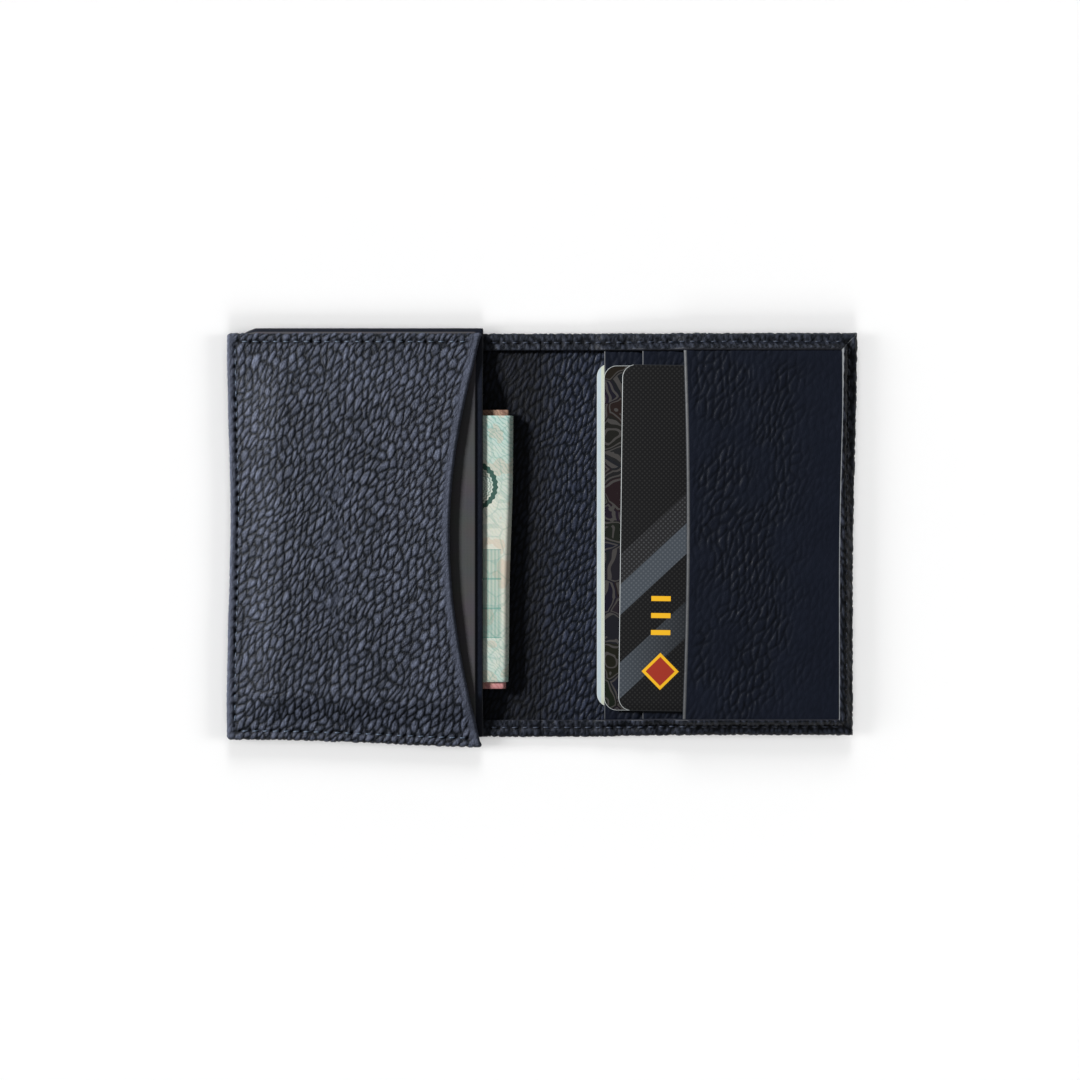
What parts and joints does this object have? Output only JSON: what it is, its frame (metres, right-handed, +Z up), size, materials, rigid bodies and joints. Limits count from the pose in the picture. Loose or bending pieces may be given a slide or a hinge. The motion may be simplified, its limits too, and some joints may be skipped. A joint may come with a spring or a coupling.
{
  "type": "card holder",
  "caption": "Bifold leather card holder lying open, with stepped card slots, a curved card pocket, a note pocket, and the cards and folded notes it holds.",
  "frame": {"origin": "centre of the underside, lying open on a table", "axes": "+X from the left cover to the right cover, +Y along the long side of the cards, +Z up from the table"},
  "size_m": [0.158, 0.1008, 0.0087],
  "materials": {
    "outer_leather": "pebbled navy full-grain, satin",
    "inner_leather": "pebbled dark navy, satin",
    "pocket_leather": "pebbled slate navy, satin",
    "lining_cloth": "smooth dark grey lining",
    "thread": "waxed blue-grey thread",
    "pale_card": "laminated, satin",
    "patterned_card": "laminated, satin, leaf outlines",
    "black_card": "laminated, satin, fine dots and stripes",
    "green_note": "printed paper, matt",
    "pink_note": "printed paper, matt",
    "brown_note": "printed paper, matt"
  },
  "bodies": {
    "right_cover": {"right_outer_leather": "outer_leather", "right_inner_facing": "inner_leather", "rear_slot_panel": "inner_leather", "middle_slot_panel": "inner_leather", "front_pocket_panel": "inner_leather", "right_stitching": "thread"},
    "spine": {"spine_outer_leather": "outer_leather", "spine_inner_facing": "inner_leather", "spine_stitching_top": "thread", "spine_stitching_bottom": "thread"},
    "left_cover": {"left_outer_leather": "outer_leather", "left_inner_facing": "inner_leather", "note_pocket_divider": "inner_leather", "divider_lining": "lining_cloth", "curved_pocket_front": "pocket_leather", "left_stitching": "thread"},
    "id_card_body": {"id_card": "pale_card"},
    "patterned_card_body": {"patterned_card": "patterned_card"},
    "black_card_body": {"black_card": "black_card"},
    "notes_body": {"outer_note": "green_note", "middle_note": "pink_note", "inner_note": "brown_note"}
  },
  "joints": [
    {"name": "spine_fold", "type": "hinge", "parent": "right_cover", "child": "spine", "pos_m": [0.0065, 0, 0.0018], "axis": [0, 1, 0], "range_deg": [0, 90]},
    {"name": "left_fold", "type": "hinge", "parent": "spine", "child": "left_cover", "pos_m": [-0.0065, 0, 0.0018], "axis": [0, 1, 0], "range_deg": [0, 90]},
    {"name": "id_card_slide", "type": "slide", "parent": "right_cover", "child": "id_card_body", "axis": [1, 0, 0], "range_m": [-0.014, 0.001]},
    {"name": "patterned_card_slide", "type": "slide", "parent": "right_cover", "child": "patterned_card_body", "axis": [1, 0, 0], "range_m": [-0.0155, 0.0035]},
    {"name": "black_card_slide", "type": "slide", "parent": "right_cover", "child": "black_card_body", "axis": [1, 0, 0], "range_m": [-0.033, 0.0002]},
    {"name": "notes_slide", "type": "slide", "parent": "left_cover", "child": "notes_body", "axis": [-1, 0, 0], "range_m": [-0.006, 0.005]}
  ],
  "couplings": [
    {"joint": "spine_fold", "follows": "left_fold", "ratio": 1}
  ]
}
